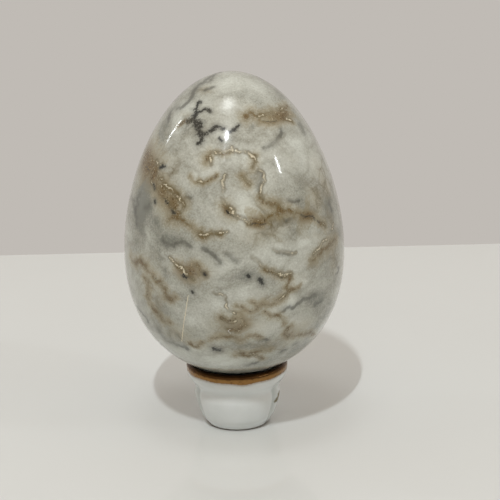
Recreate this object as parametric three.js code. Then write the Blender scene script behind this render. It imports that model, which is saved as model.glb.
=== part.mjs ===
// A polished marble egg standing blunt end down on a small white porcelain stand with a gilt rim.
// Millimetres, +Z up. The origin is on the surface that the stand rests on, on the egg's axis.
// The front of the object faces -Y.

import * as THREE from 'three';

// Egg
const eggHeight = 73.5;
const eggWidth = 53;
// How much slimmer the pointed half is than the blunt half, as a share of the radius.
const eggTaper = 0.175;
// How much fuller both ends are than a plain oval, as a share of the radius.
const eggFullness = 0.053;

// Stand: a hollow bowl-like cup with three grooves, a round flared rim and a foot ring
const rimDiameter = 24.8;
const standHeight = 15.95;
const wall = 2.1;
const collarDiameter = 24.1;
const collarHeight = 12.6;
const flareDiameter = 21.6;
const flareHeight = 10.7;
const neckDiameter = 20.7;
const neckHeight = 9.5;
const bellyDiameter = 21;
const bellyHeight = 7.6;
const hipDiameter = 19.9;
const hipHeight = 5;
const ankleDiameter = 18.1;
const ankleHeight = 2.5;
const heelDiameter = 15.7;
const heelHeight = 0.7;
const footDiameter = 14.6;
const footRingWidth = 1.6;
const footRecess = 0.6;
const cupFloor = 1.9;
const cupCorner = 3;
// Upright grooves that part the cup's side into a wide front lobe and two others.
// The depth is a share of the radius. Directions are degrees from -Y towards +X.
const grooveDepth = 0.09;
const grooveHalfWidth = 6;
const grooveDirections = [-72, 62, 175];

// Clearance between the egg and the lip that carries it
const seatGap = 0.3;

// Fineness of the facets
const eggSides = 64;
const eggRows = 34;
const standSides = 72;
const outsideRows = 14;
const insideRows = 8;
const lipRows = 8;
const cornerRows = 4;
// How much closer the stand's facets are at the grooves than on average, as a share.
const facetCrowding = 0.6;

// A material for each piece
const marble = new THREE.MeshStandardMaterial({ color: 0xb9b8b0, roughness: 0.15, metalness: 0 });
const porcelain = new THREE.MeshStandardMaterial({ color: 0xe4e5de, roughness: 0.12, metalness: 0 });

// Outline of the egg from its blunt pole, at height 0, to its pointed pole.
function eggOutline(rows) {
  const outline = [];
  for (let row = 0; row <= rows; row += 1) {
    const turn = (Math.PI * row) / rows;
    const level = -Math.cos(turn);
    const swell = 1 - eggTaper * level + eggFullness * level * level;
    outline.push(new THREE.Vector2(Math.sin(turn) * swell, (eggHeight / 2) * (1 + level)));
  }
  const widest = Math.max(...outline.map((point) => point.x));
  outline.forEach((point) => {
    point.x *= eggWidth / 2 / widest;
  });
  outline[0].x = 0;
  outline[rows].x = 0;
  return outline;
}

// Centre of the round lip in the stand's outline. The lip is as thick as the wall.
const lipRadius = wall / 2;
const lipCentre = new THREE.Vector2(rimDiameter / 2 - lipRadius, standHeight - lipRadius);

// Height of the egg's blunt pole when the egg sits on the lip with the seat clearance.
function seatedPoleHeight() {
  const reach = lipRadius + seatGap;
  const fineRows = 720;
  const heights = eggOutline(fineRows).slice(0, fineRows / 2).map((point) => {
    const across = Math.abs(lipCentre.x - point.x);
    if (across >= reach) {
      return 0;
    }
    return lipCentre.y + Math.sqrt(reach * reach - across * across) - point.y;
  });
  return Math.max(...heights);
}

// Outer side of the stand from the foot up to the lip, as a smooth curve in its outline.
const outside = new THREE.SplineCurve([
  new THREE.Vector2(footDiameter / 2, 0),
  new THREE.Vector2(heelDiameter / 2, heelHeight),
  new THREE.Vector2(ankleDiameter / 2, ankleHeight),
  new THREE.Vector2(hipDiameter / 2, hipHeight),
  new THREE.Vector2(bellyDiameter / 2, bellyHeight),
  new THREE.Vector2(neckDiameter / 2, neckHeight),
  new THREE.Vector2(flareDiameter / 2, flareHeight),
  new THREE.Vector2(collarDiameter / 2, collarHeight),
  new THREE.Vector2(rimDiameter / 2, lipCentre.y),
]);

// Radius of the outer side at a height, found by halving the stretch of curve that holds it.
function outerRadius(height) {
  let low = 0;
  let high = 1;
  for (let step = 0; step < 30; step += 1) {
    const middle = (low + high) / 2;
    if (outside.getPoint(middle).y < height) {
      low = middle;
    } else {
      high = middle;
    }
  }
  return outside.getPoint(low).x;
}

// Outline of the stand from the middle of its underside, over the lip, to the middle of the cup's floor.
function standOutline() {
  const ringInside = footDiameter / 2 - footRingWidth;
  const outline = [
    new THREE.Vector2(0, footRecess),
    new THREE.Vector2(ringInside - footRecess, footRecess),
    new THREE.Vector2(ringInside, 0),
  ];
  for (let row = 0; row < outsideRows; row += 1) {
    outline.push(outside.getPoint(row / outsideRows));
  }
  for (let row = 0; row <= lipRows; row += 1) {
    const turn = Math.PI * (row / lipRows);
    const across = lipRadius * Math.cos(turn);
    outline.push(new THREE.Vector2(lipCentre.x + across, lipCentre.y + lipRadius * Math.sin(turn)));
  }
  const floorTop = footRecess + cupFloor;
  const wallFoot = floorTop + cupCorner;
  for (let row = 1; row < insideRows; row += 1) {
    const height = THREE.MathUtils.lerp(lipCentre.y, wallFoot, row / insideRows);
    outline.push(new THREE.Vector2(outerRadius(height) - wall, height));
  }
  const cornerMiddle = outerRadius(wallFoot) - wall - cupCorner;
  for (let row = 0; row <= cornerRows; row += 1) {
    const turn = (Math.PI / 2) * (row / cornerRows);
    const across = cupCorner * Math.cos(turn);
    outline.push(new THREE.Vector2(cornerMiddle + across, wallFoot - cupCorner * Math.sin(turn)));
  }
  outline.push(new THREE.Vector2(0, floorTop));
  return outline;
}

// How much of the groove depth shows at a height: none at the rim, all at the hip, little at the foot.
function grooveShare(height) {
  const fromRim = THREE.MathUtils.smoothstep(height, neckHeight, collarHeight);
  const fromFloor = THREE.MathUtils.smoothstep(height, 0, hipHeight);
  return (1 - fromRim) * THREE.MathUtils.lerp(0.15, 1, fromFloor);
}

// Direction of a facet's edge, and how near it is to a groove, from its share of the whole turn.
// Each lobe has the same number of facets, and they stand closer at its two grooves.
function facetEdge(turnShare) {
  const lobes = grooveDirections.length;
  const lobe = Math.min(Math.floor(turnShare * lobes), lobes - 1);
  const along = turnShare * lobes - lobe;
  const start = grooveDirections[lobe];
  const end = lobe + 1 < lobes ? grooveDirections[lobe + 1] : grooveDirections[0] + 360;
  const eased = along - (facetCrowding * Math.sin(2 * Math.PI * along)) / (2 * Math.PI);
  const degrees = THREE.MathUtils.lerp(start, end, eased);
  const fromGroove = Math.min(degrees - start, end - degrees) / grooveHalfWidth;
  return { azimuth: THREE.MathUtils.degToRad(degrees), nearGroove: Math.exp(-fromGroove * fromGroove) };
}

// Cuts the grooves into the turned stand.
function addGrooves(geometry) {
  const position = geometry.getAttribute('position');
  for (let index = 0; index < position.count; index += 1) {
    const x = position.getX(index);
    const y = position.getY(index);
    const side = Math.round((Math.atan2(x, -y) / (2 * Math.PI)) * standSides);
    const edge = facetEdge(THREE.MathUtils.euclideanModulo(side, standSides) / standSides);
    const depth = grooveDepth * grooveShare(position.getZ(index));
    const radius = Math.hypot(x, y) * (1 - depth * edge.nearGroove);
    position.setXY(index, radius * Math.sin(edge.azimuth), -radius * Math.cos(edge.azimuth));
  }
  geometry.computeVertexNormals();
}

function turned(outline, sides) {
  const geometry = new THREE.LatheGeometry(outline, sides);
  geometry.rotateX(Math.PI / 2);
  return geometry;
}

function makeEgg() {
  const egg = new THREE.Mesh(turned(eggOutline(eggRows), eggSides), marble);
  egg.name = 'marble_egg';
  egg.position.z = seatedPoleHeight();
  return egg;
}

function makeStand() {
  const geometry = turned(standOutline(), standSides);
  addGrooves(geometry);
  const stand = new THREE.Mesh(geometry, porcelain);
  stand.name = 'porcelain_stand';
  return stand;
}

const part = new THREE.Group();
part.add(makeEgg(), makeStand());

export default part;
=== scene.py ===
"""A polished marble egg on a small porcelain stand with a gilt rim, dressed around its fixed frame."""

import logging
import math
import random
from dataclasses import dataclass, field
from enum import Enum

import bpy
import numpy as np
from mathutils import Matrix, Vector
from mathutils.kdtree import KDTree


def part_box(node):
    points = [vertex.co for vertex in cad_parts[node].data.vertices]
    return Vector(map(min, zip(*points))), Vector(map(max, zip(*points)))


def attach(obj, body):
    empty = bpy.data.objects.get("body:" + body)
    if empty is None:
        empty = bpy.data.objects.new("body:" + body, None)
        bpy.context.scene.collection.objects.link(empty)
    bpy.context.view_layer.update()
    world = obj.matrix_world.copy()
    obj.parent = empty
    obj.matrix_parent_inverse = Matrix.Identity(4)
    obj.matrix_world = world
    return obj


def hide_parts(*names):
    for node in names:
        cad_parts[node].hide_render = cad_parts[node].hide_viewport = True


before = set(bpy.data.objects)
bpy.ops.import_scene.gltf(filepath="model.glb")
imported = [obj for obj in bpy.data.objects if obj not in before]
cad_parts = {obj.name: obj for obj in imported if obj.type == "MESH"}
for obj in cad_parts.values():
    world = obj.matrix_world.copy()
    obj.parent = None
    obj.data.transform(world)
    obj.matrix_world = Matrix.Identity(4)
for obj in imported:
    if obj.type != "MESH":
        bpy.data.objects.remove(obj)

LOG = logging.getLogger("marble_egg")
MM = 0.001
OUTLINE_STEPS = 2000
Pixel = tuple[float, float]
Colour = tuple[float, float, float]
Socket = bpy.types.NodeSocket


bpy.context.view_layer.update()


def screen_colour(red: int, green: int, blue: int) -> Colour:
    """Turn a colour given as it looks on a screen into the plain light values that a shader takes.

    Args:
        red: Red from 0 to 255.
        green: Green from 0 to 255.
        blue: Blue from 0 to 255.

    Returns:
        The three linear values from 0 to 1.
    """
    def linear(part: int) -> float:
        share = part / 255
        return share / 12.92 if share <= 0.04045 else ((share + 0.055) / 1.055) ** 2.4
    return linear(red), linear(green), linear(blue)


class Shader:
    """A material's node tree, with one short method for each kind of node that the finishes use."""

    def __init__(self, name: str) -> None:
        """Make an empty material with a surface shader and its output."""
        self.material = bpy.data.materials.new(name)
        self.material.use_nodes = True
        self.tree = self.material.node_tree
        self.surface = self.tree.nodes["Principled BSDF"]

    def node(self, kind: str, **settings: object) -> bpy.types.Node:
        """Add a node of a kind and set its plain settings."""
        new = self.tree.nodes.new(kind)
        for name, value in settings.items():
            setattr(new, name, value)
        return new

    def feed(self, socket: Socket, value: object) -> None:
        """Link a socket to another socket, or set it to a plain value."""
        if isinstance(value, Socket):
            self.tree.links.new(value, socket)
        elif isinstance(value, tuple) and socket.type == "RGBA":
            socket.default_value = (*value[:3], 1.0)
        else:
            socket.default_value = value

    def set(self, **values: object) -> None:
        """Set or link the surface shader's inputs, named with underscores for spaces."""
        for name, value in values.items():
            self.feed(self.surface.inputs[name.replace("_", " ")], value)

    def math(self, operation: str, *values: object, clamp: bool = False) -> Socket:
        """Work out one number from others."""
        new = self.node("ShaderNodeMath", operation=operation, use_clamp=clamp)
        for socket, value in zip(new.inputs, values):
            self.feed(socket, value)
        return new.outputs[0]

    def place(self) -> Socket:
        """Return the point in the object's own space."""
        return self.node("ShaderNodeTexCoord").outputs["Object"]

    def attribute(self, name: str) -> Socket:
        """Return a number stored on the mesh."""
        return self.node("ShaderNodeAttribute", attribute_name=name).outputs["Fac"]

    def noise(
        self, point: object, scale: float, detail: float = 4.0, roughness: float = 0.55, stray: float = 0.0
    ) -> bpy.types.Node:
        """Add a cloud of noise, with scale in features per metre."""
        new = self.node("ShaderNodeTexNoise")
        for name, value in {
            "Vector": point, "Scale": scale, "Detail": detail, "Roughness": roughness, "Distortion": stray
        }.items():
            self.feed(new.inputs[name], value)
        return new

    def cells(self, point: object, scale: float, feature: str) -> Socket:
        """Return how far a point is from the middle or the edge of rounded cells."""
        new = self.node("ShaderNodeTexVoronoi", feature=feature)
        self.feed(new.inputs["Vector"], point)
        self.feed(new.inputs["Scale"], scale)
        return new.outputs["Distance"]

    def spread(
        self, value: object, low: float, high: float, to_low: float = 0.0, to_high: float = 1.0
    ) -> Socket:
        """Map a number softly from one range to another and stop it at the ends."""
        new = self.node("ShaderNodeMapRange", interpolation_type="SMOOTHSTEP")
        for socket, number in zip(new.inputs, (value, low, high, to_low, to_high)):
            self.feed(socket, number)
        return new.outputs[0]

    def blend(self, share: object, under: object, over: object) -> Socket:
        """Lay one colour over another."""
        new = self.node("ShaderNodeMix", data_type="RGBA")
        self.feed(new.inputs[0], share)
        self.feed(new.inputs[6], under)
        self.feed(new.inputs[7], over)
        return new.outputs[2]

    def ramp(self, value: object, stops: list[tuple[float, Colour]]) -> Socket:
        """Turn a number into a colour through stops."""
        new = self.node("ShaderNodeValToRGB")
        band = new.color_ramp
        while len(band.elements) < len(stops):
            band.elements.new(0.5)
        for element, (position, colour) in zip(band.elements, stops):
            element.position = position
            element.color = (*colour, 1.0)
        self.feed(new.inputs[0], value)
        return new.outputs[0]

    def flattened(self, point: object, share: float) -> Socket:
        """Squeeze a pattern's upright direction, so that its shapes lie down."""
        new = self.node("ShaderNodeVectorMath", operation="MULTIPLY")
        self.feed(new.inputs[0], point)
        new.inputs[1].default_value = (1.0, 1.0, share)
        return new.outputs[0]

    def shifted(self, point: object, by: object, amount: float) -> Socket:
        """Move a point by a noise's colour, by up to about half the amount each way."""
        centred = self.node("ShaderNodeVectorMath", operation="SUBTRACT")
        self.feed(centred.inputs[0], by)
        centred.inputs[1].default_value = (0.5, 0.5, 0.5)
        moved = self.node("ShaderNodeVectorMath", operation="MULTIPLY_ADD")
        self.feed(moved.inputs[0], centred.outputs[0])
        moved.inputs[1].default_value = (amount, amount, amount)
        self.feed(moved.inputs[2], point)
        return moved.outputs[0]

    def roughened(self, value: object, grain: object, amount: float) -> Socket:
        """Add a noise to a number, by up to about half the amount each way."""
        return self.math("MULTIPLY_ADD", self.math("SUBTRACT", grain, 0.5), amount, value)

    def bump(self, height: object, strength: float, distance: float) -> None:
        """Give the surface a fine relief."""
        new = self.node("ShaderNodeBump")
        for name, value in {"Height": height, "Strength": strength, "Distance": distance}.items():
            self.feed(new.inputs[name], value)
        self.feed(self.surface.inputs["Normal"], new.outputs[0])


@dataclass(frozen=True)
class EggForm:
    """The egg's outline: an oval that is fuller at its blunt end, standing on that end.

    Attributes:
        height: From pole to pole, in metres.
        width: Across the widest ring, in metres.
        pole: Height of the blunt pole above the floor, in metres.
        taper: How much slimmer the pointed half is, as a share of the radius.
        fullness: How much fuller both ends are than a plain oval, as a share of the radius.
    """

    height: float
    width: float
    pole: float
    taper: float = 0.175
    fullness: float = 0.053

    @classmethod
    def from_node(cls, node: str) -> "EggForm":
        """Take the egg's sizes from its box in the frame."""
        low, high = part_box(node)
        return cls(height=high[2] - low[2], width=high[0] - low[0], pole=low[2])

    def outline(self, rows: int) -> tuple[np.ndarray, np.ndarray]:
        """Return radii and heights from the blunt pole to the pointed one.

        Args:
            rows: How many steps the outline has.

        Returns:
            The radii and the heights above the floor, in metres.
        """
        turn = np.linspace(0.0, math.pi, rows + 1)
        level = -np.cos(turn)
        swell = np.sin(turn) * (1 - self.taper * level + self.fullness * level**2)
        return swell * self.width / 2 / swell.max(), self.pole + self.height / 2 * (1 + level)

    def radius_at(self, heights: np.ndarray) -> np.ndarray:
        """Return the radius at heights above the floor, and a negative one past the poles."""
        radii, levels = self.outline(OUTLINE_STEPS)
        return np.interp(heights, levels, radii, left=-1.0, right=-1.0)


@dataclass(frozen=True)
class PhotoView:
    """The camera at the photograph's viewing angle, for a square picture 500 pixels wide.

    Attributes:
        centre: Height that the camera circles around, in metres.
        distance: From that centre to the lens, in metres.
        rise: How far the camera stands above the level, in degrees.
        pan: How far it is turned to the right of the centre, in degrees.
        tilt: How far it is turned up from the centre, in degrees.
        roll: How far it is leaned over, in degrees.
        pixels_per_unit: Focal length as a number of picture pixels.
        side: Width of the picture in pixels.
        search: Where along a ray the egg is looked for, before and past the distance, in metres.
        search_steps: How many points of a ray are tried.
    """

    centre: float
    distance: float = 0.45
    rise: float = 16.0
    pan: float = 0.50
    tilt: float = -0.843
    roll: float = -1.20
    pixels_per_unit: float = 1875.0
    side: float = 500.0
    search: tuple[float, float] = (-0.05, 0.02)
    search_steps: int = 700

    def placement(self) -> Matrix:
        """Return the camera's place and turn as a matrix."""
        rise = math.radians(self.rise)
        place = Vector((0.0, -self.distance * math.cos(rise), self.centre + self.distance * math.sin(rise)))
        turn = (
            Matrix.Rotation(math.radians(-self.pan), 4, "Z")
            @ Matrix.Rotation(math.pi / 2 - rise + math.radians(self.tilt), 4, "X")
            @ Matrix.Rotation(math.radians(self.roll), 4, "Z")
        )
        return Matrix.Translation(place) @ turn

    def make(self) -> bpy.types.Object:
        """Add the camera to the scene and make it the scene's own."""
        data = bpy.data.cameras.new("camera")
        data.sensor_width = 36.0
        data.lens = data.sensor_width * self.pixels_per_unit / self.side
        camera = bpy.data.objects.new("camera", data)
        camera.matrix_world = self.placement()
        bpy.context.collection.objects.link(camera)
        bpy.context.scene.camera = camera
        return camera

    def onto_egg(self, pixels: np.ndarray, egg: EggForm) -> np.ndarray:
        """Cast picture points onto the egg.

        Args:
            pixels: Picture points, one a row, in the photograph's pixels.
            egg: The egg's form.

        Returns:
            The points on the egg that they fall on, without those that miss it.
        """
        placement = np.array(self.placement())
        across = (pixels[:, 0] - self.side / 2) / self.pixels_per_unit
        up = (self.side / 2 - pixels[:, 1]) / self.pixels_per_unit
        rays = np.stack([across, up, -np.ones(len(pixels))], axis=1) @ placement[:3, :3].T
        first, last = (self.distance + reach for reach in self.search)
        steps = np.linspace(first, last, self.search_steps)
        points = placement[:3, 3] + rays[:, None, :] * steps[None, :, None]
        inside = np.hypot(points[..., 0], points[..., 1]) <= egg.radius_at(points[..., 2])
        hits = inside.any(axis=1)
        return points[hits, inside[hits].argmax(axis=1)]


class Vein(Enum):
    """What a drawn line in the stone is filled with."""

    BLACK = "near_black"
    OCHRE = "near_ochre"
    CREAM = "near_cream"
    SMOKE = "near_smoke"
    HAIR = "near_hair"


class Tone(Enum):
    """How a soft patch differs from the stone around it; a few patches are painted light, noted where they
    are listed.
    """

    PALE = "pale"
    SHADE = "shade"
    WARM = "warm"
    BROWN = "brown"


@dataclass(frozen=True)
class Line:
    """One vein that shows in the photograph, as a short path of its pixels.

    Attributes:
        vein: What fills it.
        width: Half its width in millimetres.
        path: Picture points that it runs through.
    """

    vein: Vein
    width: float
    path: tuple[Pixel, ...]


def strokes(*rows: tuple) -> tuple[Line, ...]:
    """Make lines from rows of a filling, half a width and the points of a path."""
    return tuple(Line(vein, width, tuple(path)) for vein, width, *path in rows)


@dataclass(frozen=True)
class Patch:
    """One soft patch that shows in the photograph.

    Attributes:
        spot: Its middle, as a picture point.
        across: Half its width in millimetres.
        down: Half its height in millimetres.
        strength: How strong it is, from 0 to 1.
    """

    spot: Pixel
    across: float
    down: float
    strength: float


def soft_patches(*rows: tuple[float, ...]) -> tuple[Patch, ...]:
    """Make patches from rows of a picture point, half a width, half a height and a strength."""
    return tuple(Patch(row[:2], *row[2:]) for row in rows)


BLACK, OCHRE, CREAM, SMOKE = Vein.BLACK, Vein.OCHRE, Vein.CREAM, Vein.SMOKE

BRANCHING_MARK = strokes(
    (BLACK, 0.6, (196, 109), (195.5, 115), (194, 120), (197, 125)),
    (BLACK, 1.1, (192.5, 120), (195.5, 122), (198, 124.5)),
    (BLACK, 0.9, (194.5, 116.5), (195, 121), (199, 127.5)),
    (BLACK, 0.55, (200.5, 131.5), (202.5, 134.5), (202, 137.5)),
    (BLACK, 0.2, (199.5, 101.5), (201, 103)),
    (BLACK, 0.5, (197, 125), (199.7, 131.5), (201, 137), (198.5, 143.5)),
    (BLACK, 0.3, (196.8, 112.5), (201, 112), (204, 109.5), (207.7, 109), (211.2, 112.5)),
    (BLACK, 0.42, (208, 109.5), (211, 112.2)),
    (BLACK, 0.25, (199.2, 101.5), (197.5, 106), (196.3, 109.5)),
    (BLACK, 0.42, (202.6, 137), (207.7, 132.6), (213.5, 128.6), (218, 126.8), (223.2, 129)),
    (BLACK, 0.3, (228.4, 133.5), (231.8, 130.5), (235.3, 128.6), (238.7, 125.5)),
    (BLACK, 0.25, (219.5, 138), (221.5, 141)),
)

UPPER_VEINS = strokes(
    (SMOKE, 0.35, (205, 90.5), (209, 89), (213.5, 87.2)),
    (SMOKE, 0.4, (204.3, 81), (213.5, 75.2), (222.7, 70.5)),
    (OCHRE, 0.25, (177.9, 125.7), (186, 121), (192.2, 119.4)),
    (SMOKE, 0.6, (214, 74.5), (204, 83), (193, 94.5), (181, 108), (169, 121)),
    (OCHRE, 0.55, (246, 117.7), (254.8, 116), (262, 115), (268.6, 113), (277.8, 114.2), (287, 106.5)),
    (OCHRE, 0.4, (259.4, 120), (266.3, 122.3), (275.5, 122), (283.5, 119.6), (291.5, 121)),
    (OCHRE, 0.9, (270, 117), (281, 116.5), (289, 113)),
    (CREAM, 0.22, (258, 116.4), (261.5, 115.2), (266, 114.3), (272, 112.6)),
    (BLACK, 0.06, (262, 120.5), (269, 121.5), (277, 120.5)),
    (CREAM, 0.2, (277, 109), (280, 110), (284, 107.5)),
    (CREAM, 0.2, (286, 118.6), (291.5, 120.5)),
    (SMOKE, 0.38, (264, 147.5), (272, 145.2), (276.6, 141.8), (280, 136), (280.6, 129)),
    (SMOKE, 0.6, (300, 124), (304, 132.5)),
    (CREAM, 0.26, (213.5, 152), (220.4, 153.6), (227.2, 151.5), (237.6, 151), (244.5, 151), (254.8, 156.7)),
    (OCHRE, 0.25, (214, 153.5), (222, 155), (230, 153)),
    (OCHRE, 0.4, (206, 163), (208.5, 157), (211, 153)),
    (CREAM, 0.2, (210.4, 158), (210.4, 161), (211.2, 165.5)),
)

LEFT_VEINS = strokes(
    (OCHRE, 1.7, (146, 156), (149, 161), (148.5, 168)),
    (OCHRE, 1.2, (152, 163), (156, 170), (155, 178)),
    (OCHRE, 1.0, (157, 180), (163, 190), (170, 198), (176, 206)),
    (OCHRE, 0.4, (176, 215), (184, 222), (193, 228), (203, 233)),
    (BLACK, 0.28, (160.6, 167.5), (162.5, 166), (164.8, 167)),
    (OCHRE, 0.75, (151.5, 178), (156.5, 187), (163, 194), (168, 202), (174, 209), (177, 214)),
    (OCHRE, 0.5, (159, 178), (166.4, 188), (171.4, 190), (174, 193), (178, 197.3), (183, 202), (184, 207)),
    (CREAM, 0.24, (157, 160.5), (160, 163.5), (159.5, 177), (164, 184), (169, 188.5)),
    (CREAM, 0.3, (166.4, 187), (171.4, 188.6), (174, 192.5), (178.5, 197), (181, 200.5)),
    (CREAM, 0.2, (183, 201.4), (184.7, 206), (181.4, 212)),
    (CREAM, 0.2, (151.5, 181), (154, 187), (156.5, 190)),
    (CREAM, 0.2, (166, 199.5), (169.8, 205), (175, 210.5)),
    (BLACK, 0.2, (153.4, 184), (154.6, 189.3)),
    (BLACK, 0.1, (146.5, 166), (149.5, 171)),
    (BLACK, 0.08, (162, 197), (168, 206)),
    (BLACK, 0.2, (165.5, 201), (167.5, 204)),
    (BLACK, 0.2, (172, 210.5), (175, 213)),
    (OCHRE, 0.6, (170, 219), (176, 218), (180, 221)),
    (BLACK, 0.3, (154.8, 200.4), (155.4, 202.4)),
    (SMOKE, 0.4, (145, 208), (149.5, 204.5)),
    (SMOKE, 0.35, (131.5, 197), (134, 208), (135.8, 216), (136.8, 225)),
    (SMOKE, 0.3, (140.5, 193), (138.6, 205), (136.5, 213)),
    (SMOKE, 0.35, (181.4, 198.5), (186, 196.5), (191, 197.5)),
    (OCHRE, 0.28, (190, 176), (194, 182), (203, 183.5), (211, 180), (217, 175)),
    (CREAM, 0.18, (198, 181.6), (203, 182)),
)

MIDDLE_VEINS = strokes(
    (CREAM, 0.25, (224.9, 175), (222, 180.7), (222.8, 188), (222.4, 196.4), (222.8, 200.6), (226, 205)),
    (OCHRE, 0.55, (224, 206), (227.5, 211.5), (231.5, 216)),
    (BLACK, 0.16, (226.5, 210.5), (229.5, 214)),
    (CREAM, 0.26, (229, 206.5), (233.6, 215), (240.2, 217.4), (246, 221), (249, 224)),
    (OCHRE, 0.35, (194.6, 231.3), (199, 235.4), (207, 235.6), (215.4, 234.2), (222, 234)),
    (CREAM, 0.22, (199, 234.2), (207, 234.6), (212, 231.5), (216, 233), (227.8, 231.5)),
    (SMOKE, 0.3, (212, 234.5), (216.5, 234), (221, 235.5)),
    (SMOKE, 0.4, (163, 239.5), (167.3, 244.5), (171.4, 245.4), (178, 242.9), (183.8, 241.2), (191.3, 247)),
    (SMOKE, 0.45, (202.9, 248.7), (209.6, 252), (215.4, 257), (220, 263)),
    (SMOKE, 0.35, (225.3, 254), (231, 256.6), (237, 262)),
    (CREAM, 0.22, (258.3, 169.9), (262.9, 171.8), (264, 176), (262.5, 184.4), (260.2, 192.8), (264, 199)),
    (SMOKE, 0.28, (258, 172), (262, 174), (261.6, 183), (259, 192), (262.5, 198.5)),
    (CREAM, 0.2, (243.8, 176.8), (246.8, 181.4), (250, 184)),
    (OCHRE, 0.35, (242, 176), (245, 181), (249, 185.5)),
    (OCHRE, 0.35, (255.2, 155), (253, 158.4), (255.2, 162.2), (252.2, 167.6)),
    (CREAM, 0.18, (254, 157), (256, 161), (252.5, 167)),
    (OCHRE, 1.0, (253, 220), (258.5, 223.5), (264.5, 220)),
    (OCHRE, 0.45, (261, 198), (270, 203), (279, 209), (290, 211), (300, 213)),
    (OCHRE, 0.3, (248, 224), (254, 225.5), (262, 226)),
    (BLACK, 0.08, (251, 225), (256, 223), (260, 225.5), (266, 223.5)),
    (BLACK, 0.14, (301, 215), (306, 217), (311, 216), (315, 220)),
    (BLACK, 0.07, (229, 213), (234, 217.5)),
    (OCHRE, 0.3, (268, 217), (276, 213.5), (279, 216)),
    (SMOKE, 0.35, (286, 221), (291, 218.5), (295, 217)),
    (OCHRE, 1.0, (302, 216), (308, 214.5), (313, 217)),
    (OCHRE, 0.4, (311, 215), (316.5, 220), (320.3, 222.7), (325, 225)),
    (BLACK, 0.16, (317.5, 221), (319.5, 222.7)),
    (CREAM, 0.2, (322, 222), (324.5, 224), (325.6, 227)),
    (SMOKE, 0.3, (289, 200.5), (294, 201.8), (299, 201)),
    (SMOKE, 0.4, (329, 203), (330.5, 207), (331.8, 211.5)),
)

RIGHT_VEINS = strokes(
    (CREAM, 0.24, (273.6, 250.2), (279, 251.8), (283.6, 251.6), (288, 252.5), (295.8, 252.5)),
    (SMOKE, 0.28, (277, 252.8), (284, 253.2), (290, 254.2)),
    (OCHRE, 0.55, (336, 239), (329.5, 244), (321.8, 250), (316.5, 255.5), (312, 261)),
    (CREAM, 0.24, (327.2, 239.5), (320.3, 246.6), (313.4, 254.2)),
    (CREAM, 0.18, (334, 240), (328, 245.5)),
    (CREAM, 0.18, (333.5, 223), (331.5, 230)),
    (CREAM, 0.26,
     (252.3, 256.4), (257, 260.4), (262, 266), (266.7, 268.6), (271, 270), (276.3, 272), (281, 274.5)),
    (CREAM, 0.32, (279, 273), (282.5, 275.2), (286, 275), (290.6, 273.4)),
    (OCHRE, 0.35, (264, 269), (270, 272), (276, 274.5), (283, 277), (290, 275.5)),
    (OCHRE, 0.35, (289, 275), (289, 280.3), (286.5, 287), (289, 291.5), (281, 298), (274.7, 300.2)),
    (CREAM, 0.18, (289.5, 291), (284, 295.5), (279.5, 299)),
    (OCHRE, 0.2, (301, 283.5), (295.4, 288.3), (289, 292.3)),
    (BLACK, 0.3, (248, 275.5), (249.5, 277)),
    (BLACK, 0.42, (259.5, 279), (260.8, 281), (262.5, 283.5)),
    (OCHRE, 0.35, (251.5, 301.8), (256.3, 305.8), (261, 305.8), (265.9, 304.2)),
    (OCHRE, 0.35, (291.4, 325.8), (285.8, 330.5), (284.2, 334.5), (289, 337), (296, 336.3), (303, 334.2)),
    (OCHRE, 0.4, (300, 335), (306, 333.6), (310, 332.6), (314.5, 335.3)),
    (CREAM, 0.18, (288, 328.8), (285.5, 333.5), (288.5, 335.8)),
    (SMOKE, 0.3, (313.7, 305.8), (317, 303.5), (321.7, 301)),
    (SMOKE, 0.3, (336.9, 266), (336, 274)),
    (SMOKE, 0.35, (293.5, 345.2), (297, 342.8)),
    (SMOKE, 0.35, (281, 352), (285.5, 350)),
    (OCHRE, 0.4, (270, 349.5), (262, 350.6), (256, 351.2), (251.5, 353)),
    (OCHRE, 0.35, (237.2, 354.5), (246, 355.5), (256, 355), (262.7, 359)),
    (CREAM, 0.18, (250, 353.4), (256, 356.2), (261, 358.2)),
    (SMOKE, 0.35, (246, 365.2), (252, 363.4), (258, 362)),
    (SMOKE, 0.35, (260, 340.3), (267.5, 340)),
    (OCHRE, 0.35, (236, 307), (250, 312), (260, 305), (270, 305), (285, 297), (295, 289)),
    (OCHRE, 0.45, (220, 317), (232, 322), (240, 317), (246, 325), (237, 330), (227, 329)),
    (OCHRE, 0.35, (210, 340), (222, 337), (240, 340), (250, 335), (260, 337)),
    (SMOKE, 0.4, (282, 312), (300, 302), (317, 295)),
    (OCHRE, 0.35, (265, 312), (280, 315), (285, 324)),
    (CREAM, 0.18, (222, 318), (231, 322.5), (236, 321)),
    (OCHRE, 0.3, (238, 312.5), (241.5, 313.5)),
)

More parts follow.
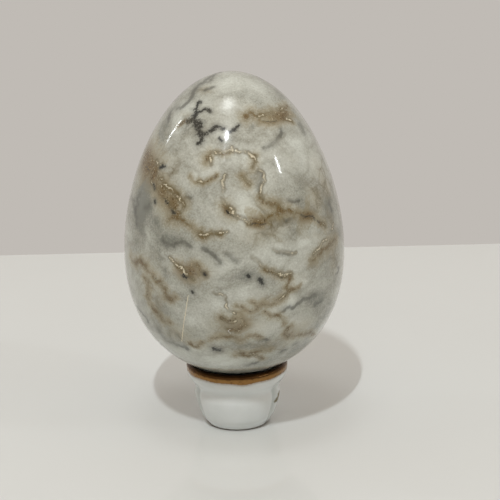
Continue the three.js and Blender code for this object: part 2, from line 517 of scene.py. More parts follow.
LOWER_LEFT_VEINS = strokes(
    (OCHRE, 0.5, (130.8, 256.6), (135.8, 264), (140.7, 260), (146.5, 266), (151.5, 273), (159.8, 280.7)),
    (OCHRE, 0.45, (159.8, 280.7), (164, 288), (167.3, 296.4), (171.4, 300), (175.6, 297.3)),
    (OCHRE, 0.4, (144, 277.4), (148.2, 283.2), (146.5, 296.4), (151.5, 306.4), (158, 314.7), (170, 322.5)),
    (OCHRE, 0.5, (178, 264), (183, 271), (187, 277), (193, 279.5)),
    (OCHRE, 0.4, (193, 264), (199.6, 267.4), (204.6, 273.6)),
    (BLACK, 0.07, (183, 272.5), (189, 277)),
    (BLACK, 0.06, (268, 272), (276, 275), (283, 278)),
    (BLACK, 0.05, (153, 275), (160, 282)),
    (CREAM, 0.22, (169.8, 257.5), (176.4, 264), (181, 268.5), (186.5, 275.5), (193.5, 279.3)),
    (CREAM, 0.2, (181.5, 266), (184, 271.5), (189, 276)),
    (BLACK, 0.26, (183, 275), (186.5, 278)),
    (BLACK, 0.3, (204, 273), (206, 275)),
    (BLACK, 0.26, (192.4, 291.8), (193.2, 292.8)),
    (CREAM, 0.2, (213.7, 292.3), (219.5, 293.6), (225.3, 296.4)),
    (CREAM, 0.16, (226.5, 297), (227, 303), (225.3, 306.4), (229.5, 311.4), (236, 313.8)),
    (SMOKE, 0.55, (159, 330.4), (163, 337), (171.4, 342), (181.4, 346.2), (187, 349)),
    (SMOKE, 0.4, (137.4, 307.2), (142.4, 313), (148.2, 322)),
    (OCHRE, 0.3, (188.8, 342.9), (193, 346.2), (198, 347), (202, 342)),
    (BLACK, 0.5, (213.5, 348.2), (216, 349.3), (219.5, 350)),
    (OCHRE, 0.4, (236, 355.3), (244.4, 354.6)),
    (OCHRE, 0.3, (148.5, 304), (149, 298), (147, 292)),
)

# A straight thin white line on the lower left, drawn with no waver.
STRAIGHT_WHITE_LINE = Line(Vein.HAIR, 0.12, ((188.4, 294.8), (186.3, 308), (183.8, 323), (181.8, 341.5)))

# Most patches are the stone's own tone; the painted ones are noted at their rows.
CLOUDS = {
    Tone.PALE: soft_patches(
        # (228, 103) is a painted highlight: the soft glow of the overhead lamps.
        (232, 84, 7.0, 3.5, 0.4), (262, 92, 4.0, 3.0, 0.5), (228, 103, 2.6, 2.4, 0.5),
        (216, 120, 4.5, 3.0, 0.35), (238, 165, 3.5, 3.0, 0.4), (246, 203, 3.2, 2.6, 0.5),
        (208, 214, 4.0, 4.0, 0.35), (302, 244, 3.0, 2.2, 0.5), (219, 271, 5.0, 3.6, 0.65),
        (192, 253, 4.0, 2.4, 0.4), (246, 292, 6.0, 2.2, 0.5), (206, 309, 5.0, 2.8, 0.45),
        # (291, 303) here and (290, 303) two rows down are a painted reflection of the right lamp in the
        # floor.
        (258, 328, 4.5, 2.2, 0.45), (291, 303, 1.3, 1.6, 0.8), (272, 313, 2.0, 1.5, 0.5),
        (222, 362, 9.0, 2.0, 0.4), (168, 173, 1.4, 1.8, 0.4), (192, 321, 2.0, 1.6, 0.7),
        (257, 326, 1.7, 1.3, 0.7), (290, 303, 0.9, 0.9, 0.9), (224, 282, 2.2, 1.4, 0.6),
        (304, 290, 1.6, 2.4, 0.35),
    ),
    Tone.SHADE: soft_patches(
        # Near the left and right edges, as at (141, 214), (158, 143), (330, 215) and (322, 280), these are
        # partly painted shade of the sides that turn from the lamps, over darker stone. Those along the
        # lower edge make the stone darker towards the bottom.
        (170, 335, 2.0, 2.4, 0.6), (218, 346, 2.4, 0.9, 0.6), (312, 268, 1.8, 3.4, 0.35),
        (141, 214, 4.5, 9.5, 0.75), (158, 228, 4.0, 4.0, 0.45), (176, 192, 2.2, 2.0, 0.4),
        (257.5, 181, 1.3, 2.4, 0.7), (300, 182, 3.0, 5.0, 0.3), (322, 280, 3.5, 7.0, 0.2),
        (164, 128, 3.0, 5.0, 0.3), (250, 278, 3.0, 1.6, 0.4), (170, 335, 5.0, 2.4, 0.45),
        (216, 345, 4.0, 1.8, 0.35), (188, 296, 4.0, 3.2, 0.3), (158, 143, 3.4, 3.6, 0.6),
        (240, 350, 9.0, 1.8, 0.3), (184, 184, 3.0, 3.0, 0.25), (330, 215, 2.4, 8.0, 0.35),
    ),
    Tone.WARM: soft_patches(
        # On the right side, (324, 180), (330, 225) and (334, 250) are partly painted warm shade over beige
        # stone. Those along the lower edge make the stone warmer towards the bottom.
        (240, 314, 2.6, 1.8, 0.8), (222, 334, 2.6, 1.4, 0.7), (250, 353, 2.8, 1.0, 0.9),
        (196, 342, 2.0, 1.4, 0.8), (298, 331, 2.6, 1.4, 0.8), (160, 300, 1.6, 2.6, 0.6),
        (324, 180, 4.0, 6.0, 0.5), (334, 250, 3.0, 8.0, 0.5), (272, 345, 7.0, 2.0, 0.5),
        (180, 334, 5.0, 2.5, 0.5), (222, 326, 4.0, 3.0, 0.45), (262, 236, 5.0, 2.2, 0.4),
        (160, 148, 3.0, 3.0, 0.35), (149, 163, 2.2, 3.0, 0.9), (170, 168, 3.0, 2.6, 0.5),
        (164, 196, 3.4, 4.4, 0.55), (275, 117, 4.2, 1.7, 0.75), (270, 205, 5.0, 3.0, 0.45),
        (276, 222, 6.5, 2.2, 0.6), (316, 197, 3.2, 4.6, 0.55), (309, 216, 2.6, 1.4, 0.7),
        (206, 158, 2.4, 2.4, 0.35), (245, 178, 2.4, 2.4, 0.5), (330, 225, 2.6, 6.0, 0.5),
        (192, 272, 4.0, 2.2, 0.85), (150, 280, 3.0, 4.6, 0.6), (157, 312, 2.6, 2.8, 0.55),
        (243, 324, 6.5, 2.8, 0.6), (290, 290, 3.0, 3.2, 0.45), (300, 328, 4.0, 2.4, 0.55),
        (262, 301, 3.4, 1.6, 0.45), (240, 352, 6.0, 1.4, 0.5), (205, 345, 3.0, 1.4, 0.4),
        (205, 90, 2.4, 1.6, 0.45),
    ),
    Tone.BROWN: soft_patches(
        (146, 158, 2.4, 2.6, 1.0), (149, 166, 2.6, 2.6, 1.0), (154, 174, 1.5, 2.0, 0.85),
        (163, 190, 1.6, 2.2, 0.6), (172, 203, 1.6, 2.2, 0.6), (188, 271, 2.6, 1.5, 0.75),
        (205, 274, 0.7, 0.6, 0.9), (228, 210, 0.9, 1.0, 1.0), (281, 116, 2.6, 1.2, 0.75),
        (258, 223, 1.8, 1.0, 0.85), (308, 216, 2.0, 1.0, 0.8), (170, 299, 1.2, 0.9, 0.6),
        (136, 262, 1.0, 1.0, 0.6), (241, 326, 2.8, 1.4, 0.4), (289, 333, 1.6, 1.4, 0.5),
    ),
}


@dataclass(frozen=True)
class StoneGrain:
    """Fineness of each pattern in the marble, in features per metre, and how far some of them drift.

    The swirl carries the whole pattern about and the ripple crumples its edges, both by metres of shift.
    """

    swirl: float = 48.0
    swirl_shift: float = 0.014
    ripple: float = 420.0
    ripple_shift: float = 0.0035
    flattening: float = 1.3
    cloud: float = 62.0
    stain: float = 90.0
    lump: float = 88.0
    small_lump: float = 175.0
    seam: float = 125.0
    fog: float = 210.0
    fray: float = 620.0
    speck: float = 2300.0


@dataclass(frozen=True)
class MarbleFinish:
    """Polished marble: cloudy pale stone with tan stains, cream and smoky veins and black marks."""

    name: str = "polished_marble"
    deep: Colour = screen_colour(128, 130, 122)
    grey: Colour = screen_colour(161, 162, 152)
    body: Colour = screen_colour(186, 188, 179)
    white: Colour = screen_colour(210, 214, 206)
    tan: Colour = screen_colour(155, 143, 112)
    olive: Colour = screen_colour(108, 99, 74)
    ochre: Colour = screen_colour(114, 92, 56)
    rust: Colour = screen_colour(68, 50, 28)
    cream: Colour = screen_colour(224, 216, 192)
    smoke: Colour = screen_colour(92, 92, 84)
    black: Colour = screen_colour(40, 41, 38)
    grain: StoneGrain = StoneGrain()

    def make(self) -> bpy.types.Material:
        """Build the marble's nodes and return its material."""
        shader = Shader(self.name)
        point = shader.place()
        grain = self.grain
        swirl = shader.noise(point, grain.swirl, 3.0).outputs["Color"]
        drift = shader.shifted(shader.flattened(point, grain.flattening), swirl, grain.swirl_shift)
        fray = shader.noise(point, grain.fray, 5.0, 0.68).outputs[0]
        speck = shader.noise(point, grain.speck, 3.0, 0.62).outputs[0]
        fog = shader.noise(drift, grain.fog, 6.0, 0.62).outputs[0]
        ripple = shader.noise(drift, grain.ripple, 3.0).outputs["Color"]
        crumple = shader.shifted(drift, ripple, grain.ripple_shift)

        colour = self.stone(shader, drift, crumple, fog, speck)
        colour = self.stains(shader, colour, drift, fog)
        colour = self.network(shader, colour, drift, crumple, speck)
        colour = self.smoky_lines(shader, colour, fray)
        colour, relief = self.ochre_lines(shader, colour, fray, speck)
        colour, relief = self.cream_lines(shader, colour, relief, fray, speck)
        colour = self.black_marks(shader, colour, fray, speck)

        shader.set(
            Base_Color=colour,
            Roughness=shader.spread(speck, 0.3, 0.75, 0.06, 0.11),
            Subsurface_Weight=0.06,
            Subsurface_Radius=(1.0, 0.9, 0.75),
            Subsurface_Scale=0.001,
            Coat_Weight=0.2,
            Coat_Roughness=0.25,
            IOR=1.45,
        )
        shader.bump(relief, 0.35, 0.00007)
        return shader.material

    def stone(
        self, shader: Shader, drift: object, crumple: object, fog: object, speck: object
    ) -> Socket:
        """Make the cloudy ground from noise, rounded lumps, grains and the patches stored on the mesh, among
        which are a painted highlight, a painted reflection and painted shade at the sides.
        """
        cloud = shader.noise(drift, self.grain.cloud, 7.0, 0.6).outputs[0]
        tone = shader.math("MULTIPLY_ADD", cloud, 1.35, -0.17)
        lump = shader.cells(crumple, self.grain.lump, "F1")
        tone = shader.math("ADD", tone, shader.spread(lump, 0.15, 0.75, 0.13, -0.17))
        for texture, strength in ((fog, 0.95), (speck, 0.85)):
            tone = shader.roughened(tone, texture, strength)
        # PALE lightens: paler stone, and at a few listed spots a painted highlight and a painted reflection.
        tone = shader.math("MULTIPLY_ADD", shader.attribute(Tone.PALE.value), 0.5, tone)
        # SHADE darkens: the stone's own darker zones, and near the egg's sides partly painted shade.
        tone = shader.math("MULTIPLY_ADD", shader.attribute(Tone.SHADE.value), -0.62, tone)
        return shader.ramp(tone, [(0.0, self.deep), (0.3, self.grey), (0.56, self.body), (0.92, self.white)])

    def stains(self, shader: Shader, colour: object, drift: object, fog: object) -> Socket:
        """Lay warm stains over the ground, strongest where the mesh holds the WARM patches, some of which
        are painted warm shade on the right side.
        """
        wander = shader.noise(drift, self.grain.stain, 6.0, 0.62, 0.5).outputs[0]
        loose = shader.spread(wander, 0.56, 0.78, 0.0, 0.5)
        patchy = shader.spread(fog, 0.34, 0.62, 0.3, 1.15)
        held = shader.math("MULTIPLY", shader.attribute(Tone.WARM.value), patchy)
        share = shader.math("ADD", loose, held, clamp=True)
        return shader.blend(shader.math("MULTIPLY", share, 0.72), colour, self.tan)

    def network(
        self, shader: Shader, colour: object, drift: object, crumple: object, speck: object
    ) -> Socket:
        """Draw the loose net of hair-fine seams, between lumps and through the warm parts of the stone."""
        broken = shader.spread(speck, 0.36, 0.6, 0.25, 1.0)
        warmth = shader.math("MULTIPLY_ADD", shader.attribute(Tone.WARM.value), 1.2, 0.15, clamp=True)
        seam = shader.noise(drift, self.grain.seam, 5.0, 0.6, 0.7).outputs[0]
        nets = (
            (shader.cells(crumple, self.grain.lump, "DISTANCE_TO_EDGE"), 0.17, 0.040, 60.0),
            (shader.cells(crumple, self.grain.small_lump, "DISTANCE_TO_EDGE"), 0.20, 0.055, 75.0),
            (shader.math("ABSOLUTE", shader.math("SUBTRACT", seam, 0.5)), 0.045, 0.011, 80.0),
        )
        for away, halo_reach, reach, mask_scale in nets:
            shown = shader.spread(shader.noise(drift, mask_scale, 2.0).outputs[0], 0.45, 0.58)
            shown = shader.math("MULTIPLY", shown, warmth)
            halo = shader.math("MULTIPLY", shader.spread(away, 0.0, halo_reach, 0.34, 0.0), shown)
            line = shader.math("MULTIPLY", shader.spread(away, 0.0, reach, 0.85, 0.0), shown)
            colour = shader.blend(halo, colour, self.olive)
            colour = shader.blend(shader.math("MULTIPLY", line, broken), colour, self.olive)
        return colour

    def frayed(self, shader: Shader, vein: Vein, fray: object, amount: float) -> Socket:
        """Return the distance from a kind of vein, in its half widths, with an uneven edge."""
        return shader.roughened(shader.attribute(vein.value), fray, amount)

    def fading(self, shader: Shader, scale: float, least: float) -> Socket:
        """Return a share that comes and goes along a vein, and never falls below a least one."""
        return shader.spread(shader.noise(shader.place(), scale, 2.0).outputs[0], 0.4, 0.6, least, 1.0)

    def smoky_lines(self, shader: Shader, colour: object, fray: object) -> Socket:
        """Draw the soft grey lines."""
        near = self.frayed(shader, Vein.SMOKE, fray, 3.4)
        mist = shader.spread(near, 0.2, 4.2, 0.30, 0.0)
        shown = self.fading(shader, 210.0, 0.4)
        core = shader.math("MULTIPLY", shader.spread(near, 0.0, 1.4, 0.72, 0.0), shown)
        return shader.blend(core, shader.blend(mist, colour, self.smoke), self.smoke)

    def ochre_lines(
        self, shader: Shader, colour: object, fray: object, speck: object
    ) -> tuple[Socket, Socket]:
        """Draw the brown veins and patches: a tan halo, a broken core, dark pits and pale grains.

        Returns:
            The colour so far and the relief so far.
        """
        near = shader.roughened(self.frayed(shader, Vein.OCHRE, fray, 6.0), speck, 2.6)
        patchy = shader.spread(fray, 0.34, 0.58, 0.45, 1.4)
        patch = shader.math("MULTIPLY", shader.attribute(Tone.BROWN.value), patchy, clamp=True)
        colour = shader.blend(shader.spread(near, -0.6, 6.0, 0.64, 0.0), colour, self.tan)
        colour = shader.blend(shader.math("MULTIPLY", patch, 0.95), colour, self.ochre)
        shown = self.fading(shader, 260.0, 0.35)
        soft = shader.math("MULTIPLY", shader.spread(near, 0.0, 3.0, 0.62, 0.0), shown)
        colour = shader.blend(soft, colour, self.olive)
        broken = shader.math("MULTIPLY", shader.spread(speck, 0.34, 0.54, 0.35, 1.0), shown)
        core = shader.math("MULTIPLY", shader.spread(near, -0.2, 1.1, 0.8, 0.0), broken)
        colour = shader.blend(core, colour, self.ochre)
        within = shader.math("ADD", shader.spread(near, -0.2, 1.2, 0.9, 0.0), patch, clamp=True)
        pits = shader.math("MULTIPLY", within, shader.spread(speck, 0.55, 0.62, 0.0, 0.9))
        colour = shader.blend(pits, colour, self.rust)
        around = shader.math("ADD", shader.spread(near, 0.6, 1.6, 0.6, 0.0), patch, clamp=True)
        grains = shader.math("MULTIPLY", around, shader.spread(speck, 0.38, 0.33, 0.0, 0.6))
        colour = shader.blend(grains, colour, self.cream)
        return colour, shader.math("SUBTRACT", grains, pits)

    def cream_lines(
        self, shader: Shader, colour: object, relief: object, fray: object, speck: object
    ) -> tuple[Socket, Socket]:
        """Draw the thin cream lines, each in a darker seam, and the one straight white hair line.

        Returns:
            The colour so far and the relief so far.
        """
        near = self.frayed(shader, Vein.CREAM, fray, 4.2)
        shown = self.fading(shader, 320.0, 0.2)
        seam = shader.spread(near, 0.6, 3.8, 0.66, 0.0)
        dark = shader.math("MULTIPLY", seam, shader.spread(shown, 0.0, 1.0, 0.5, 1.0))
        colour = shader.blend(dark, colour, self.olive)
        grainy = shader.roughened(near, speck, 3.4)
        core = shader.math("MULTIPLY", shader.spread(grainy, -0.2, 0.55, 0.9, 0.0), shown)
        hair = shader.spread(shader.attribute(Vein.HAIR.value), 0.3, 1.3, 1.0, 0.0)
        core = shader.math("MAXIMUM", core, hair)
        return shader.blend(core, colour, self.cream), shader.math("ADD", relief, core)

    def black_marks(
        self, shader: Shader, colour: object, fray: object, speck: object
    ) -> Socket:
        """Draw the black branching marks with their grainy edges."""
        near = self.frayed(shader, Vein.BLACK, fray, 3.6)
        grainy = shader.roughened(near, speck, 3.2)
        colour = shader.blend(shader.spread(near, 0.3, 4.4, 0.5, 0.0), colour, self.smoke)
        return shader.blend(shader.spread(grainy, 0.1, 1.6, 0.94, 0.0), colour, self.black)


@dataclass(frozen=True)
class PorcelainFinish:
    """White glazed porcelain, gilt on the lip, with painted shade on the lip's top and painted contact shade
    at the foot. The scales are features per metre.
    """

    name: str = "glazed_porcelain"
    glaze: Colour = screen_colour(226, 231, 231)
    pooled: Colour = screen_colour(204, 212, 211)
    gold: Colour = screen_colour(146, 110, 66)
    # Darker gold: rubbed spots, and the painted shade on the lip's top under the egg.
    worn_and_shaded_gold: Colour = screen_colour(74, 50, 28)
    feather: Colour = screen_colour(142, 116, 84)
    touch: Colour = screen_colour(108, 96, 54)
    # Painted contact shade for the foot's lowest band.
    painted_foot_shade: Colour = screen_colour(104, 98, 88)
    drift_scale: float = 160.0
    fine_scale: float = 2600.0
    blotch_scale: float = 1500.0

    def make(self) -> bpy.types.Material:
        """Build the porcelain's nodes and return its material."""
        shader = Shader(self.name)
        point = shader.place()
        drift = shader.noise(point, self.drift_scale, 3.0).outputs[0]
        fine = shader.noise(point, self.fine_scale, 3.0, 0.6).outputs[0]
        blotch = shader.noise(point, self.blotch_scale, 5.0, 0.65).outputs[0]

        glaze = shader.blend(shader.attribute("crease"), self.glaze, self.pooled)
        glaze = shader.blend(shader.spread(drift, 0.4, 0.75, 0.0, 0.25), glaze, self.pooled)
        above = shader.roughened(shader.attribute("gilt"), blotch, 0.4)
        feather = shader.spread(above, -0.7, 0.0, 0.0, 0.6)
        glaze = shader.blend(feather, glaze, self.feather)
        gilt = shader.spread(above, -0.08, 0.12)
        spots = shader.spread(blotch, 0.5, 0.7, 0.0, 0.7)
        # Painted shade: the 'inner' band darkens the gilt on the lip's top under the egg; the blotchy spots
        # are rubbed gilding.
        gilt_darkening = shader.math("ADD", spots, shader.attribute("inner"), clamp=True)
        gold = shader.blend(gilt_darkening, self.gold, self.worn_and_shaded_gold)
        colour = shader.blend(gilt, glaze, gold)
        # An olive-dark stroke on the right side, where the mesh holds it.
        stroke = shader.roughened(shader.attribute("stroke"), blotch, 1.2)
        colour = shader.blend(shader.spread(stroke, 0.35, 0.75, 0.0, 0.9), colour, self.touch)
        # Painted contact shade: the foot's lowest band is darkened by colour; it is also unglazed and rough.
        bare_and_shaded = shader.attribute("bare_and_shaded")
        colour = shader.blend(bare_and_shaded, colour, self.painted_foot_shade)

        gloss = shader.spread(fine, 0.3, 0.75, 0.03, 0.06)
        metal_gloss = shader.spread(blotch, 0.35, 0.65, 0.10, 0.26)
        duller = shader.math("MULTIPLY", gilt, shader.math("SUBTRACT", metal_gloss, gloss))
        mixed = shader.math("ADD", gloss, duller)
        rough = shader.math("ADD", mixed, shader.math("MULTIPLY", bare_and_shaded, 0.6), clamp=True)
        shader.set(
            Base_Color=colour,
            Metallic=gilt,
            Roughness=rough,
            Subsurface_Weight=0.12,
            Subsurface_Radius=(1.0, 0.95, 0.85),
            Subsurface_Scale=0.0012,
            IOR=1.5,
        )
        ripple = shader.math("MULTIPLY_ADD", fine, 0.02, shader.math("MULTIPLY", drift, 0.6))
        pitted = shader.math("MULTIPLY", gilt, shader.math("MULTIPLY", blotch, 3.2))
        shader.bump(shader.math("ADD", ripple, pitted), 0.35, 0.0001)
        return shader.material


@dataclass
class MarbleEgg:
    """The polished egg.

    Attributes:
        form: Its outline.
        view: The camera that its marks are placed through.
        finish: Its stone.
        sides: How many faces go round it.
        rows: How many faces go up it.
        front_share: How much closer the faces stand at the front, as a share.
        seed: What the loose veins of the unseen side are drawn from.
        waver: How far each halving of a vein strays, as a share of the stretch that it halves.
        finest: The longest stretch of a vein left straight, in picture pixels.
        unseen: Directions between which the loose veins start, in degrees from the front.
        unseen_ends: Directions at which they stop.
        track_step: From one point of a loose vein to the next, in millimetres.
        track_turn: How much a loose vein turns in a step, in radians.
        slack: Taken off each distance, so that a fine vein stays whole between two points of the mesh.
        thinning: Taken off each half width to make up for it. Both are in millimetres.
        loose_patches: How many soft patches of each tone the unseen side has.
    """

    form: EggForm
    view: PhotoView
    finish: MarbleFinish = field(default_factory=MarbleFinish)
    sides: int = 300
    rows: int = 324
    front_share: float = 0.6
    seed: int = 11
    waver: float = 0.12
    finest: float = 0.5
    unseen: tuple[float, float] = (98.0, 262.0)
    unseen_ends: tuple[float, float] = (92.0, 268.0)
    track_step: float = 0.15
    track_turn: float = 0.22
    slack: float = 0.09
    thinning: float = 0.04
    loose_patches: int = 12
    node: str = "marble_egg"

    def form_tree(self) -> bpy.types.GeometryNodeTree:
        """Build the node tree that bends a flat grid to the egg's outline.

        Returns:
            The tree, with the egg's sizes and its material as named inputs.
        """
        tree = bpy.data.node_groups.new("egg_form", "GeometryNodeTree")
        for name, kind in {
            "Geometry": "NodeSocketGeometry", "Height": "NodeSocketFloat", "Width": "NodeSocketFloat",
            "Pole": "NodeSocketFloat", "Taper": "NodeSocketFloat", "Fullness": "NodeSocketFloat",
            "Front share": "NodeSocketFloat", "Sides": "NodeSocketInt", "Rows": "NodeSocketInt",
            "Stone": "NodeSocketMaterial",
        }.items():
            tree.interface.new_socket(name, in_out="INPUT", socket_type=kind)
        tree.interface.new_socket("Geometry", in_out="OUTPUT", socket_type="NodeSocketGeometry")
        given = tree.nodes.new("NodeGroupInput").outputs

        def link(value: object, socket: Socket) -> None:
            if isinstance(value, Socket):
                tree.links.new(value, socket)
            else:
                socket.default_value = value

        def calc(operation: str, *values: object) -> Socket:
            new = tree.nodes.new("ShaderNodeMath")
            new.operation = operation
            for socket, value in zip(new.inputs, values):
                link(value, socket)
            return new.outputs[0]

        grid = tree.nodes.new("GeometryNodeMeshGrid")
        link(1.0, grid.inputs["Size X"])
        link(1.0, grid.inputs["Size Y"])
        link(calc("ADD", given["Sides"], 1.0), grid.inputs["Vertices X"])
        link(calc("ADD", given["Rows"], 1.0), grid.inputs["Vertices Y"])
        place = tree.nodes.new("ShaderNodeSeparateXYZ")
        link(tree.nodes.new("GeometryNodeInputPosition").outputs[0], place.inputs[0])
        round_share = calc("MULTIPLY", calc("ADD", place.outputs[0], 0.5), math.tau)
        drawn_forward = calc("MULTIPLY", given["Front share"], calc("SINE", round_share))
        azimuth = calc("SUBTRACT", round_share, drawn_forward)
        turn = calc("MULTIPLY", calc("ADD", place.outputs[1], 0.5), math.pi)
        level = calc("MULTIPLY", calc("COSINE", turn), -1.0)
        slimmer = calc("SUBTRACT", 1.0, calc("MULTIPLY", given["Taper"], level))
        fuller = calc("MULTIPLY", given["Fullness"], calc("MULTIPLY", level, level))
        swell = calc("MULTIPLY", calc("SINE", turn), calc("ADD", slimmer, fuller))
        widest = tree.nodes.new("GeometryNodeAttributeStatistic")
        link(grid.outputs["Mesh"], widest.inputs["Geometry"])
        link(swell, widest.inputs["Attribute"])
        full_share = calc("DIVIDE", swell, widest.outputs["Max"])
        radius = calc("MULTIPLY", full_share, calc("MULTIPLY", given["Width"], 0.5))
        rise = calc("MULTIPLY", calc("ADD", level, 1.0), calc("MULTIPLY", given["Height"], 0.5))
        bent = tree.nodes.new("ShaderNodeCombineXYZ")
        link(calc("MULTIPLY", radius, calc("SINE", azimuth)), bent.inputs[0])
        link(calc("MULTIPLY", calc("MULTIPLY", radius, calc("COSINE", azimuth)), -1.0), bent.inputs[1])
        link(calc("ADD", rise, given["Pole"]), bent.inputs[2])
        shaped = tree.nodes.new("GeometryNodeSetPosition")
        link(grid.outputs["Mesh"], shaped.inputs["Geometry"])
        link(bent.outputs[0], shaped.inputs["Position"])
        closed = tree.nodes.new("GeometryNodeMergeByDistance")
        link(shaped.outputs[0], closed.inputs["Geometry"])
        link(1e-6, closed.inputs["Distance"])
        smooth = tree.nodes.new("GeometryNodeSetShadeSmooth")
        link(closed.outputs[0], smooth.inputs["Geometry"])
        real = tree.nodes.new("GeometryNodeRealizeInstances")
        link(smooth.outputs[0], real.inputs["Geometry"])
        dressed = tree.nodes.new("GeometryNodeSetMaterial")
        link(real.outputs[0], dressed.inputs["Geometry"])
        link(given["Stone"], dressed.inputs["Material"])
        link(dressed.outputs[0], tree.nodes.new("NodeGroupOutput").inputs[0])
        return tree

    def build(self) -> bpy.types.Object:
        """Make the egg's fine mesh, mark it and hang it on the frame."""
        stone = self.finish.make()
        tree = self.form_tree()
        carrier = bpy.data.objects.new("egg_carrier", bpy.data.meshes.new("egg_carrier"))
        bpy.context.collection.objects.link(carrier)
        modifier = carrier.modifiers.new("form", "NODES")
        modifier.node_group = tree
        values = {
            "Height": self.form.height, "Width": self.form.width, "Pole": self.form.pole,
            "Taper": self.form.taper, "Fullness": self.form.fullness, "Front share": self.front_share,
            "Sides": self.sides, "Rows": self.rows, "Stone": stone,
        }
        for item in tree.interface.items_tree:
            if item.in_out == "INPUT" and item.name in values:
                modifier[item.identifier] = values[item.name]
        view_layer = bpy.context.evaluated_depsgraph_get()
        mesh = bpy.data.meshes.new_from_object(carrier.evaluated_get(view_layer))
        mesh.name = "polished_egg"
        carrier.modifiers.remove(modifier)
        bpy.data.objects.remove(carrier)
        egg = bpy.data.objects.new("polished_egg", mesh)
        bpy.context.collection.objects.link(egg)
        self.mark(mesh)
        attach(egg, "root")
        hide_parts(self.node)
        LOG.info("polished egg: %d faces", len(mesh.polygons))
        return egg

    def mark(self, mesh: bpy.types.Mesh) -> None:
        """Store on each point of the mesh how near it is to each kind of vein, and the soft patches."""
        points = np.empty(len(mesh.vertices) * 3)
        mesh.vertices.foreach_get("co", points)
        points = points.reshape(-1, 3)
        draw = random.Random(self.seed)
        lines = [
            *BRANCHING_MARK, *UPPER_VEINS, *LEFT_VEINS, *MIDDLE_VEINS, *RIGHT_VEINS, *LOWER_LEFT_VEINS
        ]
        spots: dict[Vein, list[tuple[np.ndarray, float]]] = {vein: [] for vein in Vein}
        for line in lines:
            spots[line.vein].append((self.trace(line, draw, self.waver), line.width))
        spots[Vein.HAIR].append((self.trace(STRAIGHT_WHITE_LINE, draw, 0.0), STRAIGHT_WHITE_LINE.width))
        for vein, width, path in self.loose_veins(draw):
            spots[vein].append((path, width))
        for vein, runs in spots.items():
            self.store(mesh, vein.value, self.nearness(points, runs))
        for tone in Tone:
            self.store(mesh, tone.value, self.cloud_share(points, tone, draw))

    def trace(self, line: Line, draw: random.Random, waver: float) -> np.ndarray:
        """Roughen a path of picture points and cast it onto the egg.

        Args:
            line: The vein's path.
            draw: Source of the roughness.
            waver: How far each halving strays, as a share of the stretch that it halves.

        Returns:
            Points on the egg's surface about a tenth of a millimetre apart.
        """
        path = [Vector(pixel) for pixel in line.path]
        while max((b - a).length for a, b in zip(path, path[1:])) > self.finest:
            finer = [path[0]]
            for start, end in zip(path, path[1:]):
                stretch = end - start
                middle = (start + end) / 2
                side = Vector((-stretch.y, stretch.x)) * draw.gauss(0.0, waver)
                finer += [middle + side, end]
            path = finer
        return self.view.onto_egg(np.array([tuple(point) for point in path]), self.form)

    def loose_veins(self, draw: random.Random) -> list[tuple[Vein, float, np.ndarray]]:
        """Wander veins over the side that the photograph doesn't show, in keeping with what shows.

        Returns:
            What fills each vein, half its width in millimetres, and its points.
        """
        kinds = (
            [(Vein.OCHRE, 0.45)] * 15 + [(Vein.CREAM, 0.2)] * 14
            + [(Vein.SMOKE, 0.4)] * 13 + [(Vein.BLACK, 0.3)] * 4
        )
        start, end = (math.radians(direction) for direction in self.unseen)
        near_end, far_end = (math.radians(direction) for direction in self.unseen_ends)
        step = self.track_step
        veins = []
        for vein, width in kinds:
            azimuth = draw.uniform(start, end)
            height = self.form.pole + self.form.height * draw.uniform(0.1, 0.9)
            heading = draw.uniform(0, math.tau)
            length = draw.uniform(3, 9) if vein is Vein.BLACK else draw.uniform(7, 22)
            track = []
            for _ in range(int(length / step)):
                radius = float(self.form.radius_at(np.array([height]))[0])
                if radius <= 2 * MM or not near_end < azimuth < far_end:
                    break
                track.append((radius * math.sin(azimuth), -radius * math.cos(azimuth), height))
                heading += draw.gauss(0.0, self.track_turn)
                azimuth += step * MM * math.cos(heading) / radius
                height += step * MM * math.sin(heading)
            if track:
                veins.append((vein, width * draw.uniform(0.7, 1.5), np.array(track)))
        return veins

    def nearness(self, points: np.ndarray, runs: list[tuple[np.ndarray, float]]) -> np.ndarray:
        """Return the distance from each point to the nearest vein, in that vein's half widths, up to 8."""
        tree = KDTree(sum(len(path) for path, _ in runs))
        widths: list[float] = []
        for path, width in runs:
            for spot in path:
                tree.insert(spot, len(widths))
                widths.append((width - self.thinning) * MM)
        tree.balance()
        shares = np.empty(len(points))
        for index, point in enumerate(points):
            _, nearest, distance = tree.find(point)
            shares[index] = min(max(distance - self.slack * MM, 0.0) / widths[nearest], 8.0)
        return shares

    def cloud_share(self, points: np.ndarray, tone: Tone, draw: random.Random) -> np.ndarray:
        """Return how strongly each point belongs to the soft patches of a tone."""
        share = np.zeros(len(points))
        patches = [
            (self.view.onto_egg(np.array([patch.spot]), self.form)[0],
             patch.across, patch.down, patch.strength)
            for patch in CLOUDS[tone]
        ]
        for _ in range(self.loose_patches):
            azimuth = draw.uniform(math.radians(105), math.radians(255))
            height = self.form.pole + self.form.height * draw.uniform(0.1, 0.92)
            radius = float(self.form.radius_at(np.array([height]))[0])
            spot = np.array([radius * math.sin(azimuth), -radius * math.cos(azimuth), height])
            patches.append((spot, draw.uniform(2.5, 6.5), draw.uniform(2.0, 6.0), draw.uniform(0.3, 0.7)))
        for spot, across, down, strength in patches:
            outward = np.array([spot[0], spot[1], 0.0]) / math.hypot(spot[0], spot[1])
            sideways = np.array([-outward[1], outward[0], 0.0])
            away = (points - spot) / MM
            aside = away @ sideways / across
            along = np.hypot(away[:, 2], away @ outward) / down
            share = np.maximum(share, strength * np.exp(-(aside**2) - along**2))
        return share

    @staticmethod
    def store(mesh: bpy.types.Mesh, name: str, values: np.ndarray) -> None:
        """Keep one number for each point of a mesh."""
        layer = mesh.attributes.new(name, "FLOAT", "POINT")
        layer.data.foreach_set("value", values.astype(np.float32))


